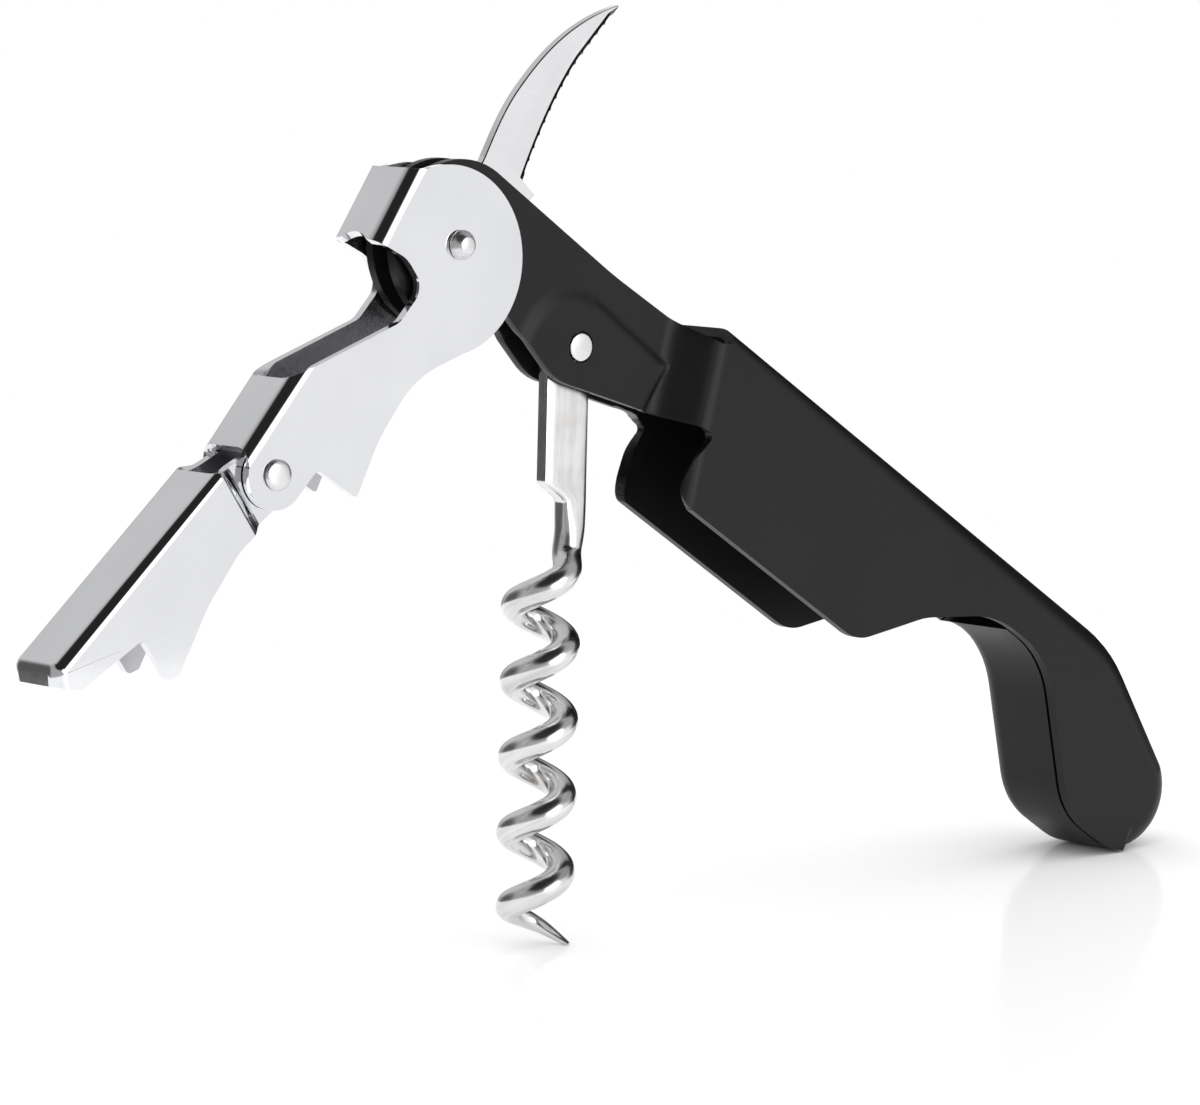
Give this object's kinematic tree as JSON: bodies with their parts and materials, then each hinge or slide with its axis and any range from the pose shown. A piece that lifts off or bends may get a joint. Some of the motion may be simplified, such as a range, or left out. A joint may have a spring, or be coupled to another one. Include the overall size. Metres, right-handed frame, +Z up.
{
  "type": "waiters corkscrew",
  "caption": "Folding waiter's corkscrew with channel-shaped handle, hinged two-step bottle lever, worm, foil knife and crown-cap opener, shown open.",
  "frame": {"origin": "centre of the bounding box on the surface that the tool stands on", "axes": "+X from the lever tip to the tail, +Y through the tool, away from the side that shows, +Z up"},
  "size_m": [0.1414, 0.0114, 0.0913],
  "materials": {
    "black_coated_steel": "satin black powder coat with a very fine grain",
    "chromed_steel": "bright chrome plate over pressed steel",
    "worm_steel": "polished drawn wire with fine lengthwise streaks",
    "blade_steel": "finely ground blade steel",
    "rivet_steel": "satin rivet heads",
    "washer_brass": "plain brass shim"
  },
  "bodies": {
    "handle": {"handle_shell": "black_coated_steel", "head_rivet": "rivet_steel", "worm_rivet": "rivet_steel", "worm_washer_near": "washer_brass", "worm_washer_far": "washer_brass", "blade_washer_near": "washer_brass", "blade_washer_far": "washer_brass", "lever_washer_near": "washer_brass", "lever_washer_far": "washer_brass"},
    "upper_lever": {"upper_lever": "chromed_steel", "lever_rivet": "rivet_steel"},
    "lower_lever": {"lower_lever": "chromed_steel"},
    "worm": {"worm": "worm_steel"},
    "foil_knife": {"foil_knife": "blade_steel"}
  },
  "joints": [
    {"name": "lever_fold", "type": "hinge", "parent": "handle", "child": "upper_lever", "pos_m": [-0.02268, 0, 0.06985], "axis": [0, -1, 0], "range_deg": [-40, 82]},
    {"name": "lower_lever_hinge", "type": "hinge", "parent": "upper_lever", "child": "lower_lever", "pos_m": [-0.04515, 0, 0.04997], "axis": [0, -1, 0], "range_deg": [0, 24]},
    {"name": "worm_fold", "type": "hinge", "parent": "handle", "child": "worm", "pos_m": [-0.00719, 0, 0.05885], "axis": [0, -1, 0], "range_deg": [-30.5, 62]},
    {"name": "knife_fold", "type": "hinge", "parent": "handle", "child": "foil_knife", "pos_m": [-0.02268, 0, 0.06985], "axis": [0, 1, 0], "range_deg": [-20, 66]}
  ],
  "couplings": [
    {"joint": "worm_fold", "follows": "lever_fold", "ratio": 0.756}
  ]
}
